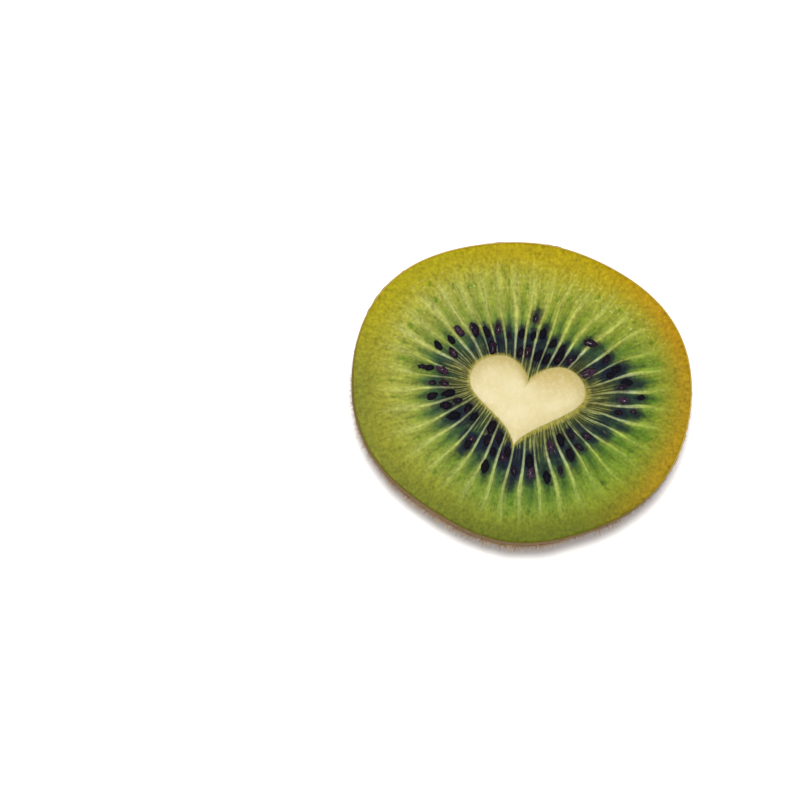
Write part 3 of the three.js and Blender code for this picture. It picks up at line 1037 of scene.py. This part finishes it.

# %% Flesh: the grain, and wet specks with painted glints
long_streaks = (streaks - 0.5 + (fine_streaks - 0.5) * 0.8) * plan.fade(reach, 1.0, 0.6)
shade = 1.0 + (cells - 0.5) * 1.0 + (fibres - 0.5) * 0.6 + (blots - 0.5) * 0.6 + long_streaks
grey = plan.node("ShaderNodeCombineColor", {}, {"Red": shade, "Green": shade, "Blue": shade})
flesh_colour = plan.mix(1.0, flesh_colour, grey, "MULTIPLY")
# Painted glints: near-white specks in the upper outer flesh, where the coat also stands.
specks = plan.streaks(turn * 8, level * 12)
glint_zone = plan.fade(reach, 0.46, 0.66) * plan.fade(reach, 0.92, 0.78) * plan.fade(y, 0.0, 12.0)
painted_glint_mask = plan.fade(specks, 0.58, 0.68) * glint_zone * plan.fade(blots, 0.4, 0.55)
flesh_colour = plan.mix(painted_glint_mask * 0.65, flesh_colour, paint(218, 214, 132))
connect(plan, flesh_shader, {
    "Base Color": flesh_colour,
    "Roughness": 0.72 - cells * 0.2,
    "Coat Weight": painted_glint_mask * 0.3,
})
add_bump(plan, flesh_shader, fibres + fine_streaks, 0.06)
finish_piece(flesh_mesh, "flesh", flesh_finish, "flesh_skin_and_seeds")

# %% [markdown]
# The core
#
# The firm core does not shrink back when it is cut, so it stands a hair proud of the flesh as a low crown.
# It is the same kind of ring mesh, with the heart as its outline all the way down. An extruded heart with
# a bevel would have straight walls, but the real core tapers with the fruit, so each ring is drawn smaller.

# %% The core's mesh
CORE_COLUMNS = 468
CORE_TOP_RINGS = 40
CORE_SIDE_RINGS = 5
CROWN_LIFT = 0.03

core_angle = np.linspace(0, 2 * np.pi, CORE_COLUMNS, endpoint=False)
core_outline = outline_points(core_angle, heart_radius(core_angle))
crown_scale = shares(CORE_TOP_RINGS)
crown_height = HEIGHT + CORE_CROWN * (1 - crown_scale**4) + CROWN_LIFT
side_share = shares(CORE_SIDE_RINGS)
core_scales = np.concatenate([crown_scale, 1 - (1 - CORE_FOOT_SCALE) * side_share])
core_heights = np.concatenate([crown_height, HEIGHT - (HEIGHT - CORE_FOOT) * side_share])
core_rings = rings_of(core_outline, core_scales, core_heights)
core_top = HEIGHT + CORE_CROWN + CROWN_LIFT
core_mesh = ring_mesh("core", (0, 0, core_top), core_rings, (0, 0, CORE_FOOT))
edge_share = np.repeat(core_scales[:, None], CORE_COLUMNS, 1)
edge_share[CORE_TOP_RINGS:] = 1
store(core_mesh, "edge", (1 - edge_share) * lengths(core_outline), (FAR, 0.0))
print("core rings:", len(core_scales))

# %% The core's finish
core_finish, plan, core_shader = new_finish("kiwi_core", {
    "Subsurface Weight": 0.3,
    "Subsurface Radius": (1.0, 0.9, 0.6),
    "Subsurface Scale": 0.7 * MM,
    "Specular IOR Level": 0.15,
})
place = object_place(plan)
x, y, _ = split(plan, place)
edge_gap = stored(plan, "edge")
cells = plan.noise(place, 0.5, 3.0)
clouds = plan.noise(place, 3.0, 3.0)
core_colour = plan.mix(plan.fade(clouds, 0.35, 0.65), paint(233, 218, 162), paint(239, 226, 176))
upward = y + plan.fade(x, -2.0, 3.0) * 4.0
soft_edge = plan.fade(edge_gap + (clouds - 0.5) * 1.6, 2.6, 0.0)
sharp_edge = plan.fade(edge_gap + (cells - 0.5) * 0.9, 0.3, -0.1)
# Painted shade: the core is darker and yellower towards its top, and its soft edge is deeper there.
core_colour = plan.layers(core_colour, [
    (plan.fade(upward, 1.5, 7.5) * 0.9, paint(208, 186, 108)),
    (soft_edge * (0.25 + plan.fade(upward, -1.0, 4.0) * 0.4), paint(200, 184, 116)),
    (sharp_edge * 0.5, paint(200, 186, 104)),
    (plan.fade(cells, 0.45, 0.75) * 0.3, paint(246, 234, 190)),
])
connect(plan, core_shader, {"Base Color": core_colour, "Roughness": 0.5 - cells * 0.16})
add_bump(plan, core_shader, cells, 0.02)
finish_piece(core_mesh, "core", core_finish, "heart_core")

# %% [markdown]
# The seeds
#
# Each seed is a flattened drop, sunk to its shoulders. One is shaped from a sphere inside the node tree and
# set on every place that the rule gave, with that place's turn and scale. A tree is the right tool here: the
# places are one small mesh of bare points, and the copies are made real at the end, as one piece.

# %% Seeds on their places
SEED_SEGMENTS = 18
SEED_SPHERE_RINGS = 14
SEED_TAPER = 0.22
SEED_LUMPS = 0.45
MOST_ROLL = 0.6
MOST_PITCH = 0.2

seed_points = np.column_stack([SEEDS[:, :2], HEIGHT - SEEDS[:, 4]])
seed_places = bpy.data.meshes.new("seed_places")
seed_places.from_pydata((seed_points * MM).tolist(), [], [])
for name, values in (("turn", SEEDS[:, 2]), ("scale", SEEDS[:, 3])):
    seed_places.attributes.new(name, "FLOAT", "POINT").data.foreach_set("value", values.astype(np.float32))

seeds_finish, seeds_look, seeds_shader = new_finish("kiwi_seed", {
    "Specular IOR Level": 0.12,
    "Coat Roughness": 0.2,
})
plan, sizes = new_tree("seeds", ["Length", "Width", "Thickness", "Taper", "Lumps"])
ball_sizes = {"Segments": SEED_SEGMENTS, "Rings": SEED_SPHERE_RINGS, "Radius": 0.5}
ball = plan.node("GeometryNodeMeshUVSphere", {}, ball_sizes)
x, y, z = split(plan, plan.node("GeometryNodeInputPosition"))
narrow = (1 - (z * 2).sum("MAXIMUM", 0.0) * sizes["Taper"]) * MM
across = x * sizes["Width"] * narrow
upright = y * sizes["Thickness"] * narrow
shape = plan.vector(z * sizes["Length"] * MM, across, upright)
drop = plan.node("GeometryNodeSetPosition", {}, {"Geometry": ball, "Position": shape})
roll = plan.random(-MOST_ROLL, MOST_ROLL, 5)
pitch = plan.random(-MOST_PITCH, MOST_PITCH, 6)
euler = plan.vector(roll, pitch, read(plan, "turn"))
turned = plan.node("FunctionNodeEulerToRotation", {}, {"Euler": euler})
copies = plan.node("GeometryNodeInstanceOnPoints", {}, {
    "Points": sizes["Geometry"],
    "Instance": drop,
    "Rotation": turned,
    "Scale": read(plan, "scale"),
})
real = real_copies(plan, copies, 4)
bumps = plan.noise(plan.node("GeometryNodeInputPosition"), 0.6 * MM, 2.0)
lumpy = push(plan, real, (bumps - 0.5) * sizes["Lumps"] * MM)
end_tree(plan, lumpy, seeds_finish)
seed_sizes = {
    "Length": SEED_LENGTH,
    "Width": SEED_WIDTH,
    "Thickness": SEED_THICKNESS,
    "Taper": SEED_TAPER,
    "Lumps": SEED_LUMPS,
}
seeds_mesh = run_tree(seed_places, plan.tree, seed_sizes)
seeds_mesh.shade_smooth()
print("seeds:", len(SEEDS))

# %% The seeds' finish
plan = seeds_look
place = object_place(plan)
pits = plan.noise(place, 0.2, 2.0)
patches = plan.noise(place, 0.55, 2.0)
own = stored(plan, "own")
# Purple patches: the seeds' own maroon tone with a painted sheen; pale flecks are painted highlights.
purple_tone_and_sheen = plan.fade(patches + (own - 0.7) * 0.4, 0.45, 0.64)
glint_flecks = plan.fade(pits + (own - 0.7) * 0.3, 0.57, 0.73)
seed_colour = plan.layers(plan.mix(own, paint(17, 19, 34), paint(34, 20, 38)), [
    (purple_tone_and_sheen * 0.7, paint(78, 42, 62)),
    (glint_flecks * 0.45, paint(130, 116, 136)),
])
connect(plan, seeds_shader, {
    "Base Color": seed_colour,
    "Roughness": 0.5 + pits * 0.3,
    "Coat Weight": plan.fade(own, 0.4, 0.9) * 0.2,
})
add_bump(plan, seeds_shader, pits + patches, 0.22)
finish_piece(seeds_mesh, "seeds", seeds_finish, "flesh_skin_and_seeds")

# %% [markdown]
# The skin
#
# The skin is a shell a quarter of a millimetre thick. Solidify would give it a wall too, but the two faces
# and the lip between them are easy to write as one run of rings: up the inside, over the rim and down the
# outside to the small flat spot, the dimple and the dry flower scar in it.

# %% The skin's mesh
SKIN_COLUMNS = 420
SKIN_SIDE_RINGS = 84
INNER_RINGS = 12
LIP_RINGS = 5
FLAT_RINGS = 5
DIMPLE_RINGS = 10
NUB_RINGS = 6
SCAR_RINGS = 9  # the last rings, which carry the dry rest of the flower

skin_angle = np.linspace(0, 2 * np.pi, SKIN_COLUMNS, endpoint=False)
skin_outline = outline_points(skin_angle, skin_radius(skin_angle))
inner_radius, inner_height = barrel_profile(INNER_RINGS, SKIN_THICKNESS)
outer_radius, outer_height = barrel_profile(SKIN_SIDE_RINGS, 0.0)
lip_turn = np.linspace(0, np.pi, LIP_RINGS + 2)
lip_radius = MEAN_RADIUS - SKIN_THICKNESS * (1 + np.cos(lip_turn)) / 2
lip_height = HEIGHT - RIM_DROP * 0.6 + SKIN_THICKNESS / 2 * np.sin(lip_turn)
flat_radius = np.linspace(outer_radius[-1], DIMPLE_RADIUS, FLAT_RINGS + 1)[1:]
dimple_share = shares(DIMPLE_RINGS)
dimple_radius = DIMPLE_RADIUS + (NUB_RADIUS - DIMPLE_RADIUS) * dimple_share
dimple_height = DIMPLE_DEPTH * smoothstep(dimple_share, 0, 1)
nub_share = shares(NUB_RINGS)
nub_radius = NUB_RADIUS + (NUB_TIP_RADIUS - NUB_RADIUS) * nub_share**2
nub_height = DIMPLE_DEPTH + (NUB_CLEARANCE - DIMPLE_DEPTH) * nub_share
skin_profile = np.hstack([
    (inner_radius[::-1], inner_height[::-1]),
    (lip_radius, lip_height),
    (outer_radius, outer_height),
    (flat_radius, 0 * flat_radius),
    (dimple_radius, dimple_height),
    (nub_radius, nub_height),
])
skin_radii, skin_heights = skin_profile
skin_rings = rings_of(skin_outline, skin_radii / MEAN_RADIUS, skin_heights)
inside_top = (0, 0, DIMPLE_DEPTH + SKIN_THICKNESS)
skin_mesh = ring_mesh("skin", inside_top, skin_rings, (0, 0, NUB_CLEARANCE))
first_outer = INNER_RINGS + len(lip_radius)
# Name, the rings where it is 1, its values at the inner and the outer pole
RING_MARKS = [
    ("outside", slice(first_outer, None), (0.0, 1.0)),
    ("lip", slice(INNER_RINGS, first_outer), (0.0, 0.0)),
    ("scar", slice(-SCAR_RINGS, None), (0.0, 1.0)),
]
for name, marked, pole_values in RING_MARKS:
    marks = np.zeros(skin_rings.shape[:2])
    marks[marked] = 1
    store(skin_mesh, name, marks, pole_values)
print("skin rings:", len(skin_radii))

# %% The skin's relief
plan, sizes = new_tree("skin_relief", ["Lumps", "Wrinkles"])
place = plan.node("GeometryNodeInputPosition")
lumps = plan.noise(place, 6 * MM, 2.0)
wrinkles = plan.noise(place, 1.3 * MM, 2.0)
_, _, z = split(plan, place)
swelling = (lumps - 0.5) * sizes["Lumps"] + (wrinkles - 0.5) * sizes["Wrinkles"]
swelling = swelling * read(plan, "outside") * plan.fade(z, 0.2 * MM, 2.5 * MM) * MM
end_tree(plan, push(plan, sizes["Geometry"], swelling))
skin_relief_sizes = {"Lumps": 0.35, "Wrinkles": 0.42}
skin_mesh = run_tree(skin_mesh, plan.tree, skin_relief_sizes)
print("skin relief:", skin_relief_sizes)

# %% The skin's finish
SHADE_BAND_START = 9.0  # below the cut, where painted shade begins to darken the skin and the fuzz
SHADE_BAND_END = 1.0

skin_finish, plan, skin_shader = new_finish("kiwi_skin", {"Specular IOR Level": 0.1})
place = object_place(plan)
x, y, z = split(plan, place)
patches = plan.noise(place, 5.0, 3.0)
pores = plan.noise(place, 0.5, 2.0)
spots = plan.node("ShaderNodeTexVoronoi", {}, {"Vector": place, "Scale": 0.7}, "Distance")
skin_colour = plan.mix(plan.fade(patches, 0.35, 0.65), paint(172, 148, 84), paint(204, 148, 86))
# Painted shade: the skin and the fuzz darken towards the cut.
cut_shade = plan.fade(z, HEIGHT - SHADE_BAND_START, HEIGHT - SHADE_BAND_END)
# Painted light and shade on the lip: darker to the lower left, lighter to the upper right.
lip_colour = plan.mix(plan.fade(y + x * 0.5, -14.0, 8.0), paint(126, 112, 58), paint(208, 176, 88))
skin_colour = plan.layers(skin_colour, [
    (plan.fade(pores, 0.35, 0.7) * 0.6, paint(146, 102, 56)),
    (plan.fade(spots, 0.22, 0.1) * 0.5, paint(112, 74, 44)),
    (cut_shade * 0.6, paint(112, 86, 44)),
    (stored(plan, "lip"), lip_colour),
])
connect(plan, skin_shader, {"Base Color": skin_colour, "Roughness": 0.75 - pores * 0.2})
add_bump(plan, skin_shader, pores, 0.12)
skin_surface = skin_mesh.copy()
finish_piece(skin_mesh, "skin", skin_finish, "flesh_skin_and_seeds")

# %% [markdown]
# The fuzz
#
# Two kinds of hair grow on the skin: a dense short down, and longer bristly hairs over it. Blender's hair
# system would do for a picture, but these have to be real meshes. So the tree scatters points over the skin,
# sets a tapered three-sided hair on each, leans it along a slowly turning field and makes the copies real.


# %% A tree that grows hair
LOWEST_HAIR = 0.02
PRESSED_START = 11.0  # below the cut, where the knife hand begins to press the hairs flat
PRESSED_END = 2.0
HAIR_SIZES = ["Hairs per square cm", "Length", "Thickness", "Bend", "Lift", "Tuft size"]
PER_SQUARE_METRE = 1e4  # square centimetres in a square metre
LEAN_OFFSET = (-0.5, -0.5, -0.62)  # takes the middle out of the tufts' noise, and leans the hairs down
LEAN_STRENGTH = 2.6
STRAY = 0.35
FULL_TURN = 6.28


def hair_tree(name, where, segments, material):
    """Hairs where a stored number says so: thick at the root, bent, and leaning together in tufts."""
    plan, sizes = new_tree(name, HAIR_SIZES, ["Seed"])
    place = plan.node("GeometryNodeInputPosition")
    tuft_inputs = {"Vector": place, "Scale": 1 / MM / sizes["Tuft size"], "Detail": 2.0}
    tufts = plan.node("ShaderNodeTexNoise", {}, tuft_inputs, "Color")
    _, _, root_height = split(plan, place)
    near_cut = plan.fade(root_height, (HEIGHT - PRESSED_START) * MM, (HEIGHT - PRESSED_END) * MM)
    points = {
        "Mesh": sizes["Geometry"],
        "Selection": (read(plan, where) - 0.5).sum("GREATER_THAN", 0.0),
        "Density": sizes["Hairs per square cm"] * PER_SQUARE_METRE * (1 - near_cut * 0.4),
        "Seed": sizes["Seed"],
    }
    roots = plan.node("GeometryNodeDistributePointsOnFaces", {}, points, "Points")
    normal = Wire(plan, roots.socket.node.outputs["Normal"])
    stray_inputs = {"Min": (-STRAY, -STRAY, -STRAY), "Max": (STRAY, STRAY, STRAY), "Seed": sizes["Seed"]}
    stray = plan.node("FunctionNodeRandomValue", {"data_type": "FLOAT_VECTOR"}, stray_inputs, "Value")
    lean = plan.scale(plan.add(tufts, LEAN_OFFSET), LEAN_STRENGTH)
    lift = plan.scale(normal, sizes["Lift"] * (1 - near_cut * 1.2))
    direction = plan.add(plan.add(lean, lift), stray)
    spin = plan.vector(0.0, 0.0, plan.random(0.0, FULL_TURN, 7))
    spun = plan.node("FunctionNodeEulerToRotation", {}, {"Euler": spin})
    aim = {"Rotation": spun, "Vector": direction}
    turned = plan.node("FunctionNodeAlignRotationToVector", {"axis": "Z"}, aim)
    cone = {
        "Vertices": 3,
        "Side Segments": segments,
        "Radius Top": 0.0,
        "Radius Bottom": 0.5,
        "Depth": 1.0,
    }
    spike = plan.node("GeometryNodeMeshCone", {"fill_type": "NGON"}, cone, "Mesh")
    x, y, z = split(plan, place)
    thickness = sizes["Thickness"] * MM
    length = sizes["Length"] * MM
    sideways = x * thickness + z * z * sizes["Bend"] * length
    bent = plan.vector(sideways, y * thickness, (z * 1.06 - 0.06) * length)
    hair = plan.node("GeometryNodeSetPosition", {}, {"Geometry": spike, "Position": bent})
    copies = plan.node("GeometryNodeInstanceOnPoints", {}, {
        "Points": roots,
        "Instance": hair,
        "Rotation": turned,
        "Scale": plan.random(0.5, 1.25, 8) * (1 - near_cut * 0.5),
    })
    real = real_copies(plan, copies, 9)
    above = plan.vector(x, y, z.sum("MAXIMUM", LOWEST_HAIR * MM))
    pressed = plan.node("GeometryNodeSetPosition", {}, {"Geometry": real, "Position": above})
    end_tree(plan, pressed, material)
    return plan.tree


print("no hair is lower than, mm:", LOWEST_HAIR)


# %% The hairs' finish
def hair_finish(name, dark, light):
    """Dry, dull hair whose colour changes from one to the next. Painted shade darkens it towards the cut."""
    material, plan, shader = new_finish(name, {"Roughness": 0.7, "Specular IOR Level": 0.1})
    _, _, z = split(plan, object_place(plan))
    # Painted shade: the hairs darken towards the cut.
    cut_shade = plan.fade(z, HEIGHT - SHADE_BAND_START, HEIGHT - SHADE_BAND_END)
    colour = plan.mix(cut_shade * 0.5, plan.mix(stored(plan, "own"), dark, light), paint(124, 92, 52))
    connect(plan, shader, {"Base Color": colour})
    return material


down_finish = hair_finish("down", paint(172, 120, 68), paint(242, 198, 132))
bristle_finish = hair_finish("bristle", paint(160, 102, 54), paint(255, 226, 168))
scar_finish = hair_finish("dry_scar", paint(84, 44, 30), paint(150, 92, 62))

# %% Down, bristles and the dry flower scar
FUZZ = [
    ("down", "outside", 1, down_finish, {
        "Hairs per square cm": 1000.0, "Length": 0.75, "Thickness": 0.06, "Bend": 0.0, "Lift": 0.4,
        "Tuft size": 3.0, "Seed": 3,
    }),
    ("bristles", "outside", 2, bristle_finish, {
        "Hairs per square cm": 380.0, "Length": 1.5, "Thickness": 0.09, "Bend": 0.4, "Lift": 0.5,
        "Tuft size": 4.5, "Seed": 11,
    }),
    ("flower_scar", "scar", 2, scar_finish, {
        "Hairs per square cm": 1800.0, "Length": 1.6, "Thickness": 0.16, "Bend": 0.3, "Lift": 1.4,
        "Tuft size": 2.0, "Seed": 17,
    }),
]
for name, where, segments, material, hair_sizes in FUZZ:
    hair_mesh = run_tree(skin_surface, hair_tree(name, where, segments, material), hair_sizes)
    finish_piece(hair_mesh, name, material, "flesh_skin_and_seeds")
bpy.data.meshes.remove(skin_surface)
